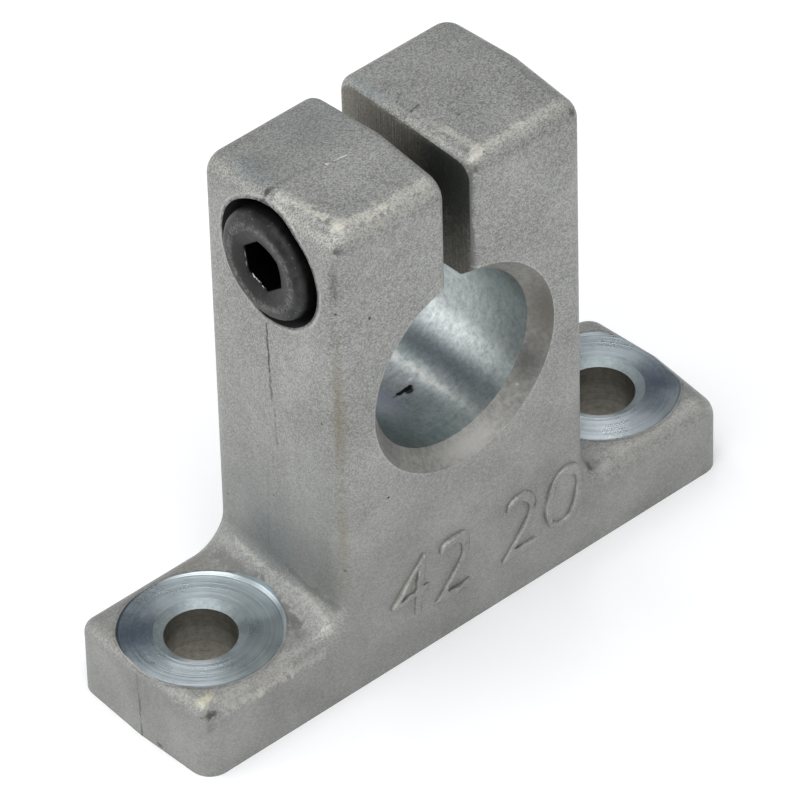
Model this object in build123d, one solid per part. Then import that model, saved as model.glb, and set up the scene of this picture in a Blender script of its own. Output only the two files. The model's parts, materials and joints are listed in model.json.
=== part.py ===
from build123d import *
import os
from math import cos, radians, tan

# A shaft support block: a cast aluminium upside-down T that is bolted down through two
# spotfaced holes and clamps a shaft in its bore. A slot opens the bore to the top, and a
# socket head cap screw crosses the slot and threads into the far jaw to close it.
#
# The mould splits on the plane Y = 0. Every wall that runs along Y leans in from there
# towards the front and the back face, which leaves the parting line round the outline.
# The ground face, bore, holes, spotfaces and the screw's holes are machined square.
#
# Frame: X along the foot with the screw's head at -X, Y along the shaft, Z up. The origin
# is the middle of the ground face. All lengths are in millimetres.

# Shaft
shaft_diameter = 12.0
shaft_height = 20.0

# Casting, sized on the parting plane
casting_depth = 11.9
upright_width = 20.0
foot_thickness = 5.5
hole_from_upright = 6.0
foot_end_margin = 5.0
draft_angle = 2.5
upright_corner_round = 1.5
screw_end_round = 0.9
far_end_round = 1.5
face_round = 1.4
root_round = 2.0
ground_stock = 2.0

# Conical mouths of the bore
mouth_width = 1.05
mouth_depth = 1.2

# Clamping slot
slot_width = 1.55
slot_offset = -0.1
slot_edge_round = 0.7

# Holding-down holes
foot_hole_diameter = 4.5
foot_hole_chamfer = 0.3
foot_hole_flare = 0.6
spotface_diameter = 10.2
spotface_depth = 0.3
spotface_corner = 0.2

# Clamping screw, size M4 x 16
screw_diameter = 4.0
screw_length = 16.0
screw_above_bore = 4.25
screw_offset = -0.3
head_diameter = 7.2
head_height = 4.0
head_proud = 0.6
head_rim_round = 0.7
neck_round = 0.2
tip_chamfer = 0.5
socket_width = 3.0
socket_depth = 2.0
socket_turn = 19.0
socket_point_angle = 120.0
dish_diameter = 4.8
dish_slope = 18.0

# Room for the screw in the casting
well_gap = 0.55
well_to_top = 0.6
shank_gap = 0.25
thread_gap = 0.04
thread_mouth = 0.4

# Sizes that follow from those above
overshoot = 1.0
half_depth = casting_depth / 2
half_width = upright_width / 2
bore_radius = shaft_diameter / 2
hole_place = half_width + hole_from_upright
half_length = hole_place + foot_end_margin
spotface_level = foot_thickness - spotface_depth
well_radius = head_diameter / 2 + well_gap
screw_height = shaft_height + bore_radius + screw_above_bore
total_height = screw_height + well_radius + well_to_top
head_face = -half_width - head_proud
head_seat = head_face + head_height
screw_line = Plane(origin=(head_face, screw_offset, screw_height), x_dir=(0, 1, 0), z_dir=(1, 0, 0))


def is_wall(face):
    """Tell whether a face stands square to the parting plane."""
    return abs(face.normal_at().Y) < 0.5


def runs_back(edge):
    """Tell whether an edge runs from a face of the casting towards the parting plane."""
    return abs(edge.tangent_at(0.5).Y) > 0.5


def drafted_half():
    """Front half of the casting's block, drafted from the parting plane and still sharp."""
    corners = [
        (-half_length, -ground_stock),
        (half_length, -ground_stock),
        (half_length, foot_thickness),
        (half_width, foot_thickness),
        (half_width, total_height),
        (-half_width, total_height),
        (-half_width, foot_thickness),
        (-half_length, foot_thickness),
    ]
    with BuildPart() as half:
        with BuildSketch(Plane.XZ):
            with BuildLine():
                Polyline(*corners, close=True)
            make_face()
        extrude(amount=half_depth)
        draft(half.faces().filter_by(is_wall), Plane.XZ, draft_angle)
    return half.part


def back_edges(half, x_range, z_range):
    """Edges of the half that run back from its face, within a range of X and a range of Z."""
    edges = half.edges().filter_by(runs_back)
    return edges.filter_by_position(Axis.X, *x_range).filter_by_position(Axis.Z, *z_range)


def rounded_half():
    """The drafted half with its cast edges rounded. The screw's end of the foot is sharper."""
    upright = (-half_width - 0.5, half_width + 0.5)
    screw_end = (-half_length - 0.5, -half_length + 1.5)
    far_end = (half_length - 1.5, half_length + 0.5)
    at_top = (total_height - 1, total_height + 0.5)
    at_foot_top = (foot_thickness - 1, foot_thickness + 0.5)
    with BuildPart() as half:
        add(drafted_half())
        fillet(back_edges(half, upright, at_foot_top), root_round)
        fillet(back_edges(half, upright, at_top), upright_corner_round)
        fillet(back_edges(half, far_end, at_foot_top), far_end_round)
        fillet(half.faces().sort_by(Axis.Y)[0].edges(), face_round)
        fillet(back_edges(half, screw_end, at_foot_top), screw_end_round)
    return half.part


def slot_core():
    """Front half of the core that leaves the slot: it widens towards the front face."""
    core_height = total_height + overshoot - shaft_height
    with BuildPart() as core:
        with BuildSketch(Plane.XZ):
            with Locations((slot_offset, shaft_height)):
                Rectangle(slot_width, core_height, align=(Align.CENTER, Align.MIN))
        extrude(amount=half_depth + overshoot)
        sides = core.faces().filter_by(lambda f: abs(f.normal_at().X) > 0.9)
        draft(sides, Plane.XZ, -draft_angle)
    return core.part


def cast_half():
    """Front half of the casting with its slot, whose outer edges are rounded."""
    with BuildPart() as half:
        add(rounded_half())
        add(slot_core(), mode=Mode.SUBTRACT)
        slot_walls = half.faces().filter_by(
            lambda f: abs(f.center().X - slot_offset) < slot_width and abs(f.normal_at().X) > 0.9
        )
        rims = slot_walls.edges().filter_by(
            lambda e: e.center().Y < -0.01 and e.center().Z > shaft_height + 0.01
        )
        fillet(rims, slot_edge_round)
    return half.part


def bore_cutter():
    """The shaft's bore with a conical mouth at each face, turned about the shaft's line."""
    reach = half_depth + overshoot
    mouth_start = half_depth - mouth_depth
    wide = bore_radius + mouth_width * (1 + overshoot / mouth_depth)
    profile = [
        (0, -reach),
        (wide, -reach),
        (bore_radius, -mouth_start),
        (bore_radius, mouth_start),
        (wide, reach),
        (0, reach),
    ]
    shaft_plane = Plane(origin=(0, 0, shaft_height), x_dir=(1, 0, 0), z_dir=(0, 0, 1))
    with BuildPart() as cutter:
        with BuildSketch(shaft_plane):
            with BuildLine():
                Polyline(*profile, close=True)
            make_face()
        revolve(axis=Axis((0, 0, shaft_height), (0, 1, 0)))
    return cutter.part


def foot_hole_cutter():
    """A holding-down hole with its chamfer and spotface, standing on the origin."""
    hole_radius = foot_hole_diameter / 2
    face_radius = spotface_diameter / 2
    top = foot_thickness + root_round + overshoot
    with BuildPart() as cutter:
        with BuildSketch(Plane.XZ) as section:
            with BuildLine():
                Polyline(
                    (0, -overshoot),
                    (hole_radius, -overshoot),
                    (hole_radius, spotface_level - foot_hole_chamfer),
                    (hole_radius + foot_hole_flare, spotface_level),
                    (face_radius, spotface_level),
                    (face_radius, top),
                    (0, top),
                    close=True,
                )
            make_face()
            tool_corner = section.vertices().filter_by(
                lambda v: abs(v.X - face_radius) < 1e-6 and abs(v.Y - spotface_level) < 1e-6
            )
            chamfer(tool_corner, spotface_corner)
        revolve(axis=Axis.Z)
    return cutter.part


def screw_hole_cutter():
    """Well for the head, clearance hole to the slot and threaded hole through the far jaw."""
    seat = head_seat - head_face
    slot_middle = slot_offset - head_face
    far_side = half_width - head_face
    shank = screw_diameter / 2 + shank_gap
    thread = screw_diameter / 2 + thread_gap
    with BuildPart() as cutter:
        with BuildSketch(Plane.XZ):
            with BuildLine():
                Polyline(
                    (0, -overshoot),
                    (well_radius, -overshoot),
                    (well_radius, seat),
                    (shank, seat),
                    (shank, slot_middle),
                    (thread, slot_middle),
                    (thread, far_side - thread_mouth),
                    (thread + thread_mouth + overshoot, far_side + overshoot),
                    (0, far_side + overshoot),
                    close=True,
                )
            make_face()
        revolve(axis=Axis.Z)
    return screw_line * cutter.part


def support_block():
    """The whole casting, machined."""
    front = cast_half()
    with BuildPart() as block:
        add(front)
        add(front.mirror(Plane.XZ))
        split(bisect_by=Plane.XY, keep=Keep.TOP)
        add(bore_cutter(), mode=Mode.SUBTRACT)
        with Locations((-hole_place, 0), (hole_place, 0)):
            add(foot_hole_cutter(), mode=Mode.SUBTRACT)
        add(screw_hole_cutter(), mode=Mode.SUBTRACT)
    return block.part


def clamp_screw():
    """Socket head cap screw, turned about its own line, with the hexagon socket sunk in."""
    head = head_diameter / 2
    shank = screw_diameter / 2
    tip = head_height + screw_length
    socket_corner = socket_width / 2 / cos(radians(30))
    with BuildPart() as screw:
        with BuildSketch(Plane.XZ) as section:
            with BuildLine():
                Polyline(
                    (0, 0),
                    (head, 0),
                    (head, head_height),
                    (shank, head_height),
                    (shank, tip - tip_chamfer),
                    (shank - tip_chamfer, tip),
                    (0, tip),
                    close=True,
                )
            make_face()
            rim = section.vertices().filter_by(lambda v: v.X > head - 1e-6 and v.Y < 1e-6)
            neck = section.vertices().filter_by(
                lambda v: abs(v.X - shank) < 1e-6 and abs(v.Y - head_height) < 1e-6
            )
            fillet(rim, head_rim_round)
            fillet(neck, neck_round)
        revolve(axis=Axis.Z)
        with BuildSketch():
            RegularPolygon(socket_corner, 6, rotation=socket_turn)
        extrude(amount=socket_depth, mode=Mode.SUBTRACT)
        point_depth = socket_width / 2 / tan(radians(socket_point_angle / 2))
        with Locations((0, 0, socket_depth)):
            Cone(
                socket_width / 2,
                0.0,
                point_depth,
                align=(Align.CENTER, Align.CENTER, Align.MIN),
                mode=Mode.SUBTRACT,
            )
        dish_depth = dish_diameter / 2 * tan(radians(dish_slope))
        Cone(
            dish_diameter / 2,
            0.0,
            dish_depth,
            align=(Align.CENTER, Align.CENTER, Align.MIN),
            mode=Mode.SUBTRACT,
        )
    return screw_line * screw.part


if __name__ == "__main__":
    os.makedirs("parts", exist_ok=True)
    export_step(support_block(), "parts/support_block.step")
    export_step(clamp_screw(), "parts/clamp_screw.step")
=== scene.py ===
"""A cast shaft support block with its clamping screw, on a pale studio floor.

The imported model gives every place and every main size. Lengths are in millimetres, and MM
turns them into Blender's metres. X runs along the foot, Y along the shaft and Z up. A Span is
the two ends of a range, and a Ramp is a range with the values that it is mapped onto.
"""

import json
import logging
import math
from dataclasses import dataclass
from enum import Enum

import bmesh
import bpy
from mathutils import Matrix, Vector


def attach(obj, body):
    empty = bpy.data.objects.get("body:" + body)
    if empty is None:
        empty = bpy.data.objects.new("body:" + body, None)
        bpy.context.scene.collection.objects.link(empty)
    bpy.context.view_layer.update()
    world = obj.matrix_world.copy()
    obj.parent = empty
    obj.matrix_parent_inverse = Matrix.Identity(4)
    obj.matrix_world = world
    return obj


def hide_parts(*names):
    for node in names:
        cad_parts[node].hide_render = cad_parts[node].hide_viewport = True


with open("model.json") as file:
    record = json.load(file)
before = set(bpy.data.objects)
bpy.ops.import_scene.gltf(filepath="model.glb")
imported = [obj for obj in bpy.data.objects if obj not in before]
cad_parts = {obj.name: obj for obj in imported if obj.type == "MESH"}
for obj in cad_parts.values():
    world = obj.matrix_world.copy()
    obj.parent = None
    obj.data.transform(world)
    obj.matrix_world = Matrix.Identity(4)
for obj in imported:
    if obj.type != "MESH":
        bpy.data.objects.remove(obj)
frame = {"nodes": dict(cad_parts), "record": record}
bpy.context.view_layer.update()

LOG = logging.getLogger("shaft_support")
MM = 0.001
FULL_TURN = 2 * math.pi

Socket = bpy.types.NodeSocket
Feed = Socket | float | tuple[float, ...]
Colour = tuple[float, float, float, float]
Place = tuple[float, float, float]
Span = tuple[float, float]
Ramp = tuple[float, float, float, float]


def grey(value: float, warmth: float = 0.0) -> Colour:
    """Gives a linear grey that is warmed towards red, or cooled towards blue.

    Args:
        value: The grey's reflectance.
        warmth: Share by which red rises and blue falls.

    Returns:
        The colour with full alpha.
    """
    return (value * (1 + warmth), value, value * (1 - warmth), 1.0)


class NodeSheet:
    """A node tree that is filled one node at a time."""

    def __init__(self, tree: bpy.types.NodeTree) -> None:
        """Keeps the tree.

        Args:
            tree: The tree to fill.
        """
        self.tree = tree

    def feed(self, socket: Socket, value: Feed) -> None:
        """Links or sets an input.

        Args:
            socket: The input.
            value: Another node's output, or a plain value.
        """
        if isinstance(value, bpy.types.NodeSocket):
            self.tree.links.new(value, socket)
        else:
            socket.default_value = value

    def add(
        self, kind: str, feeds: dict[str | int, Feed] | None = None, **settings: object
    ) -> bpy.types.Node:
        """Adds a node.

        Args:
            kind: The node's type.
            feeds: What goes into its inputs, by name or number.
            settings: The node's own options.

        Returns:
            The node.
        """
        node = self.tree.nodes.new(kind)
        for name, value in settings.items():
            setattr(node, name, value)
        for key, value in (feeds or {}).items():
            self.feed(node.inputs[key], value)
        return node

    def math(self, operation: str, first: Feed, second: Feed = 0.0, clamp: bool = False) -> Socket:
        """Works on two numbers.

        Args:
            operation: The Math node's operation.
            first: The first number.
            second: The second number.
            clamp: Whether the result is kept between 0 and 1.

        Returns:
            The result.
        """
        node = self.add("ShaderNodeMath", {0: first, 1: second}, operation=operation, use_clamp=clamp)
        return node.outputs[0]

    def times(self, first: Feed, second: Feed) -> Socket:
        """Gives the product of two numbers."""
        return self.math("MULTIPLY", first, second)

    def plus(self, first: Feed, second: Feed, clamp: bool = False) -> Socket:
        """Gives the sum of two numbers, which can be kept between 0 and 1."""
        return self.math("ADD", first, second, clamp)

    def minus(self, first: Feed, second: Feed) -> Socket:
        """Gives the first number less the second."""
        return self.math("SUBTRACT", first, second)

    def vector(self, operation: str, first: Feed, second: Feed = (0.0, 0.0, 0.0)) -> Socket:
        """Works on two vectors.

        Args:
            operation: The Vector Math node's operation.
            first: The first vector.
            second: The second vector.

        Returns:
            The resulting vector.
        """
        node = self.add("ShaderNodeVectorMath", {0: first, 1: second}, operation=operation)
        return node.outputs["Vector"]

    def scaled(self, vector: Feed, factor: Feed) -> Socket:
        """Gives a vector times a number.

        Args:
            vector: The vector.
            factor: The number.

        Returns:
            The scaled vector.
        """
        node = self.add("ShaderNodeVectorMath", {0: vector, "Scale": factor}, operation="SCALE")
        return node.outputs["Vector"]

    def length(self, vector: Feed) -> Socket:
        """Gives a vector's length."""
        return self.add("ShaderNodeVectorMath", {0: vector}, operation="LENGTH").outputs["Value"]

    def dot(self, first: Feed, second: Feed) -> Socket:
        """Gives the dot product of two vectors."""
        node = self.add("ShaderNodeVectorMath", {0: first, 1: second}, operation="DOT_PRODUCT")
        return node.outputs["Value"]

    def parts(self, vector: Feed) -> tuple[Socket, Socket, Socket]:
        """Gives a vector's X, Y and Z."""
        outputs = self.add("ShaderNodeSeparateXYZ", {0: vector}).outputs
        return outputs[0], outputs[1], outputs[2]

    def joined(self, x: Feed, y: Feed, z: Feed) -> Socket:
        """Makes a vector from X, Y and Z."""
        return self.add("ShaderNodeCombineXYZ", {0: x, 1: y, 2: z}).outputs[0]

    def blend(self, share: Feed, under: Feed, over: Feed) -> Socket:
        """Lays one colour over another.

        Args:
            share: How much of the upper colour shows.
            under: The lower colour.
            over: The upper colour.

        Returns:
            The mixed colour.
        """
        node = self.add("ShaderNodeMix", data_type="RGBA", clamp_factor=True)
        self.feed(node.inputs[0], share)
        self.feed(node.inputs[6], under)
        self.feed(node.inputs[7], over)
        return node.outputs[2]

    def step(self, value: Feed, low: Feed, high: Feed, start: Feed = 0.0, end: Feed = 1.0) -> Socket:
        """Maps a range smoothly onto another and holds it beyond its ends.

        Args:
            value: The number to map.
            low: Where the range starts.
            high: Where the range ends.
            start: The result at the start.
            end: The result at the end.

        Returns:
            The mapped number.
        """
        feeds = {"Value": value, "From Min": low, "From Max": high, "To Min": start, "To Max": end}
        return self.add("ShaderNodeMapRange", feeds, interpolation_type="SMOOTHSTEP").outputs[0]

    def noise(self, place: Feed, scale: Feed, detail: float = 2.0, roughness: float = 0.5) -> Socket:
        """Gives soft noise around one half.

        Args:
            place: Where the noise is read.
            scale: Its grains per unit of length.
            detail: How many finer layers it has.
            roughness: How strong those layers are.

        Returns:
            The noise's value.
        """
        feeds = {"Vector": place, "Scale": scale, "Detail": detail, "Roughness": roughness}
        return self.add("ShaderNodeTexNoise", feeds).outputs["Fac"]


class Effect(Enum):
    """The effects that materials share, by the names of their node groups."""

    GRAIN = "sand_grain"
    RUBBED = "rubbed_edges"
    MARK = "local_mark"
    STREAKS = "fine_streaks"
    PITS = "small_pits"
    RINGS = "turned_rings"
    LINE = "ragged_line"
    RIM = "broken_rim"


class EffectShelf:
    """The shared effects, each built once as a node group."""

    def __init__(self) -> None:
        """Builds every group."""
        self.trees = {
            Effect.GRAIN: self.grain(),
            Effect.RUBBED: self.rubbed(),
            Effect.MARK: self.mark(),
            Effect.STREAKS: self.streaks(),
            Effect.PITS: self.pits(),
            Effect.RINGS: self.rings(),
            Effect.LINE: self.line(),
            Effect.RIM: self.rim(),
        }

    def start(
        self, effect: Effect, inputs: dict[str, str], outputs: dict[str, str]
    ) -> tuple[NodeSheet, dict[str, Socket]]:
        """Starts a group with named sockets.

        Args:
            effect: The effect that the group is for.
            inputs: The kind of each input, Float, Vector or Color, by name.
            outputs: The kind of each output, by name.

        Returns:
            The group's sheet and its inputs by name.
        """
        tree = bpy.data.node_groups.new(effect.value, "ShaderNodeTree")
        for name, kind in inputs.items():
            tree.interface.new_socket(name, in_out="INPUT", socket_type=f"NodeSocket{kind}")
        for name, kind in outputs.items():
            tree.interface.new_socket(name, in_out="OUTPUT", socket_type=f"NodeSocket{kind}")
        sheet = NodeSheet(tree)
        given = sheet.add("NodeGroupInput").outputs
        return sheet, {name: given[name] for name in inputs}

    def end(self, sheet: NodeSheet, results: dict[str, Feed]) -> bpy.types.NodeTree:
        """Feeds a group's outputs.

        Args:
            sheet: The group's sheet.
            results: What each output gives, by name.

        Returns:
            The finished group.
        """
        sheet.add("NodeGroupOutput", results)
        return sheet.tree

    def grain(self) -> bpy.types.NodeTree:
        """Builds a sand-like grain with soft clouds: Fine, Speck and Cloud lie around one half.

        Returns:
            The node group.
        """
        sheet, given = self.start(
            Effect.GRAIN,
            {"Place": "Vector", "Grains": "Float", "Clouds": "Float"},
            {"Fine": "Float", "Speck": "Float", "Cloud": "Float", "Height": "Float"},
        )
        fine = sheet.noise(given["Place"], given["Grains"], 3.0, 0.75)
        cells = sheet.add("ShaderNodeTexVoronoi", {"Vector": given["Place"], "Scale": given["Grains"]})
        speck = sheet.parts(cells.outputs["Color"])[0]
        cloud = sheet.noise(given["Place"], given["Clouds"], 5.0, 0.6)
        height = sheet.plus(fine, sheet.times(speck, 0.3))
        return self.end(sheet, {"Fine": fine, "Speck": speck, "Cloud": cloud, "Height": height})

    def rubbed(self) -> bpy.types.NodeTree:
        """Builds a mask of the rounded edges, where the normal leaves the main directions.

        Returns:
            The node group.
        """
        sheet, given = self.start(
            Effect.RUBBED,
            {"Direction": "Vector", "Place": "Vector", "Start": "Float", "Full": "Float"},
            {"Mask": "Float"},
        )
        x, y, z = sheet.parts(sheet.vector("ABSOLUTE", given["Direction"]))
        most = sheet.math("MAXIMUM", sheet.math("MAXIMUM", x, y), z)
        lean = sheet.minus(1.0, most)
        ragged = sheet.times(sheet.minus(sheet.noise(given["Place"], 1.6, 4.0, 0.7), 0.5), 0.14)
        mask = sheet.step(sheet.plus(lean, ragged), given["Start"], given["Full"])
        return self.end(sheet, {"Mask": mask})

    def mark(self) -> bpy.types.NodeTree:
        """Builds a patch with a soft rim around a centre. Waver breaks the rim up.

        Returns:
            The node group.
        """
        sheet, given = self.start(
            Effect.MARK,
            {
                "Place": "Vector",
                "Waver": "Float",
                "Centre": "Vector",
                "Reach": "Vector",
                "Soft": "Float",
                "Ragged": "Float",
            },
            {"Mask": "Float"},
        )
        offset = sheet.vector("SUBTRACT", given["Place"], given["Centre"])
        offset = sheet.vector("DIVIDE", offset, given["Reach"])
        waver = sheet.times(sheet.minus(given["Waver"], 0.5), given["Ragged"])
        far = sheet.plus(sheet.length(offset), waver)
        inner = sheet.minus(1.0, given["Soft"])
        return self.end(sheet, {"Mask": sheet.step(far, inner, 1.0, 1.0, 0.0)})

    def streaks(self) -> bpy.types.NodeTree:
        """Builds soft streaks: Stretch gives the streaks per unit of length along each axis.

        Returns:
            The node group.
        """
        sheet, given = self.start(
            Effect.STREAKS,
            {"Place": "Vector", "Stretch": "Vector"},
            {"Tone": "Float"},
        )
        stretched = sheet.vector("MULTIPLY", given["Place"], given["Stretch"])
        return self.end(sheet, {"Tone": sheet.noise(stretched, 1.0, 2.0, 0.5)})

    def pits(self) -> bpy.types.NodeTree:
        """Builds small round pits in a share of random cells.

        Returns:
            The node group.
        """
        sheet, given = self.start(
            Effect.PITS,
            {"Place": "Vector", "Cells": "Float", "Share": "Float", "Radius": "Float"},
            {"Mask": "Float"},
        )
        cells = sheet.add("ShaderNodeTexVoronoi", {"Vector": given["Place"], "Scale": given["Cells"]})
        chosen = sheet.math("LESS_THAN", sheet.parts(cells.outputs["Color"])[1], given["Share"])
        inner = sheet.times(given["Radius"], 0.5)
        near = sheet.step(cells.outputs["Distance"], inner, given["Radius"], 1.0, 0.0)
        return self.end(sheet, {"Mask": sheet.times(chosen, near)})

    def rings(self) -> bpy.types.NodeTree:
        """Builds tool rings: each ring has its own tone and tilts the normal along Across.

        Returns:
            The node group.
        """
        sheet, given = self.start(
            Effect.RINGS,
            {"Travel": "Float", "Across": "Vector", "Normal": "Vector", "Pitch": "Float", "Tilt": "Float"},
            {"Tone": "Float", "Normal": "Vector"},
        )
        ring = sheet.math("DIVIDE", given["Travel"], given["Pitch"])
        fine, broad = (
            sheet.add(
                "ShaderNodeTexNoise",
                {"W": ring, "Scale": scale, "Detail": detail},
                noise_dimensions="1D",
            )
            for scale, detail in ((1.0, 3.0), (0.13, 1.0))
        )
        tone = sheet.times(sheet.plus(fine.outputs["Fac"], broad.outputs["Fac"]), 0.5)
        lean = sheet.times(sheet.minus(fine.outputs["Fac"], 0.5), given["Tilt"])
        tilted = sheet.vector("ADD", given["Normal"], sheet.scaled(given["Across"], lean))
        return self.end(sheet, {"Tone": tone, "Normal": sheet.vector("NORMALIZE", tilted)})

    def line(self) -> bpy.types.NodeTree:
        """Builds a thin line between two points. Waver moves it, and Thin changes its width in places.

        Returns:
            The node group.
        """
        sheet, given = self.start(
            Effect.LINE,
            {
                "Place": "Vector",
                "Waver": "Vector",
                "Thin": "Float",
                "Start": "Vector",
                "End": "Vector",
                "Width": "Float",
            },
            {"Mask": "Float"},
        )
        waver = sheet.scaled(sheet.vector("SUBTRACT", given["Waver"], (0.5, 0.5, 0.5)), 0.3)
        reach = sheet.vector("SUBTRACT", given["End"], given["Start"])
        offset = sheet.vector("ADD", sheet.vector("SUBTRACT", given["Place"], given["Start"]), waver)
        share = sheet.math("DIVIDE", sheet.dot(offset, reach), sheet.dot(reach, reach), clamp=True)
        away = sheet.length(sheet.vector("SUBTRACT", offset, sheet.scaled(reach, share)))
        ratio = sheet.math("DIVIDE", sheet.math("DIVIDE", away, given["Width"]), given["Thin"])
        return self.end(sheet, {"Mask": sheet.step(ratio, 0.2, 1.0, 1.0, 0.0)})

    def rim(self) -> bpy.types.NodeTree:
        """Builds a thin broken ring where Away is near Radius.

        Returns:
            The node group.
        """
        sheet, given = self.start(
            Effect.RIM,
            {"Away": "Vector", "Radius": "Float", "Width": "Float", "Break": "Float"},
            {"Mask": "Float"},
        )
        gap = sheet.math("ABSOLUTE", sheet.minus(sheet.length(given["Away"]), given["Radius"]))
        near = sheet.step(gap, 0.0, given["Width"], 1.0, 0.0)
        whole = sheet.step(given["Break"], 0.38, 0.58, 0.2, 1.0)
        return self.end(sheet, {"Mask": sheet.times(near, whole)})


@dataclass(frozen=True)
class Mark:
    """One spot of the surface whose colour differs."""

    centre: Place
    reach: Place
    colour: Colour
    strength: float
    soft: float = 0.8
    ragged: float = 0.8


@dataclass(frozen=True)
class Stroke:
    """One thin line or band on the surface. Strokes draw scratches, stretches of the parting line, rubbed
    bands, painted shade, painted highlights and painted glints.
    """

    start: Place
    end: Place
    width: float = 0.14
    strength: float = 0.6
    colour: Colour = grey(0.07)


@dataclass(frozen=True)
class Rim:
    """A thin ring drawn round a round hole, light or dark, some of them painted shadows and highlights.
    Lengths along each axis count as often as plane says.
    """

    centre: Place
    plane: Place
    radius: float
    width: float
    strength: float
    colour: Colour


class Surface:
    """A material that is being built up. Its places are in millimetres."""

    def __init__(self, name: str, shelf: EffectShelf) -> None:
        """Starts the material.

        Args:
            name: The material's name.
            shelf: The shared effects.
        """
        self.shelf = shelf
        self.material = bpy.data.materials.new(name)
        self.material.use_nodes = True
        self.sheet = NodeSheet(self.material.node_tree)
        coordinates = self.sheet.add("ShaderNodeTexCoord")
        self.place = self.sheet.scaled(coordinates.outputs["Object"], 1 / MM)
        self.normal = coordinates.outputs["Normal"]

    def effect(self, effect: Effect, **feeds: Feed) -> dict[str, Socket]:
        """Places a shared effect.

        Args:
            effect: The effect.
            feeds: What goes into its inputs, by name.

        Returns:
            Its outputs by name.
        """
        node = self.sheet.add("ShaderNodeGroup", node_tree=self.shelf.trees[effect])
        for name, value in feeds.items():
            self.sheet.feed(node.inputs[name], value)
        return {out.name: out for out in node.outputs}

    def mask(self, effect: Effect, **feeds: Feed) -> Socket:
        """Places a shared effect that reads the place, and gives its mask."""
        return self.effect(effect, Place=self.place, **feeds)["Mask"]

    def rings(self, travel: Feed, across: Feed, pitch: float, tilt: float) -> dict[str, Socket]:
        """Lays tool rings on the surface.

        Args:
            travel: How far the tool has gone, in millimetres.
            across: The direction that crosses the rings.
            pitch: The rings' distance.
            tilt: How much they tilt the normal.

        Returns:
            Their tone and the tilted normal.
        """
        normal = self.sheet.add("ShaderNodeNewGeometry").outputs["Normal"]
        return self.effect(Effect.RINGS, Travel=travel, Across=across, Normal=normal, Pitch=pitch, Tilt=tilt)

    def marked(self, colour: Socket, marks: tuple[Mark, ...]) -> Socket:
        """Lays marks over a colour.

        Args:
            colour: The colour below.
            marks: The marks, from the lowest up.

        Returns:
            The colour with the marks.
        """
        waver = self.sheet.noise(self.place, 4.0, 4.0, 0.6)
        for mark in marks:
            shape = {"Centre": mark.centre, "Reach": mark.reach, "Soft": mark.soft, "Ragged": mark.ragged}
            share = self.sheet.times(self.mask(Effect.MARK, Waver=waver, **shape), mark.strength)
            colour = self.sheet.blend(share, colour, mark.colour)
        return colour

    def stroked(self, colour: Socket, broken: Socket, strokes: tuple[Stroke, ...]) -> tuple[Socket, Feed]:
        """Draws thin lines over a colour.

        Args:
            colour: The colour below.
            broken: Noise that thins the lines in places.
            strokes: The lines, from the lowest up.

        Returns:
            The colour with the lines, and how deep the lines cut.
        """
        sheet = self.sheet
        noise = sheet.add("ShaderNodeTexNoise", {"Vector": self.place, "Scale": 1.6, "Detail": 4.0})
        moved = {"Waver": noise.outputs["Color"], "Thin": sheet.step(broken, 0.34, 0.6, 0.3, 1.2)}
        cuts: Feed = 0.0
        for stroke in strokes:
            shape = {"Start": stroke.start, "End": stroke.end, "Width": stroke.width}
            share = sheet.times(self.mask(Effect.LINE, **moved, **shape), stroke.strength)
            colour = sheet.blend(share, colour, stroke.colour)
            cuts = sheet.plus(cuts, share)
        return colour, cuts

    def rimmed(self, colour: Socket, broken: Socket, rims: tuple[Rim, ...]) -> Socket:
        """Draws thin rings over a colour, some of them painted shadows and highlights.

        Args:
            colour: The colour below.
            broken: Noise that breaks the rims up.
            rims: The rims, from the lowest up.

        Returns:
            The colour with the rims.
        """
        sheet = self.sheet
        for rim in rims:
            away = sheet.vector("MULTIPLY", sheet.vector("SUBTRACT", self.place, rim.centre), rim.plane)
            ring = self.effect(Effect.RIM, Away=away, Radius=rim.radius, Width=rim.width, Break=broken)
            colour = sheet.blend(sheet.times(ring["Mask"], rim.strength), colour, rim.colour)
        return colour

    def bump(self, strength: float, depth: float, height: Feed, **feeds: Feed) -> Socket:
        """Gives the normal of a relief.

        Args:
            strength: How much of the relief shows.
            depth: Its depth in millimetres.
            height: Its height.
            feeds: The node's other inputs, by name.

        Returns:
            The bumped normal.
        """
        feeds = {"Strength": strength, "Distance": depth * MM, "Height": height, **feeds}
        return self.sheet.add("ShaderNodeBump", feeds).outputs["Normal"]

    def finish(self, **feeds: Feed) -> bpy.types.Material:
        """Feeds the shader.

        Args:
            feeds: What goes into its inputs, by name with _ for each space.

        Returns:
            The finished material.
        """
        shader = self.material.node_tree.nodes["Principled BSDF"]
        for name, value in feeds.items():
            self.sheet.feed(shader.inputs[name.replace("_", " ")], value)
        return self.material


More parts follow.
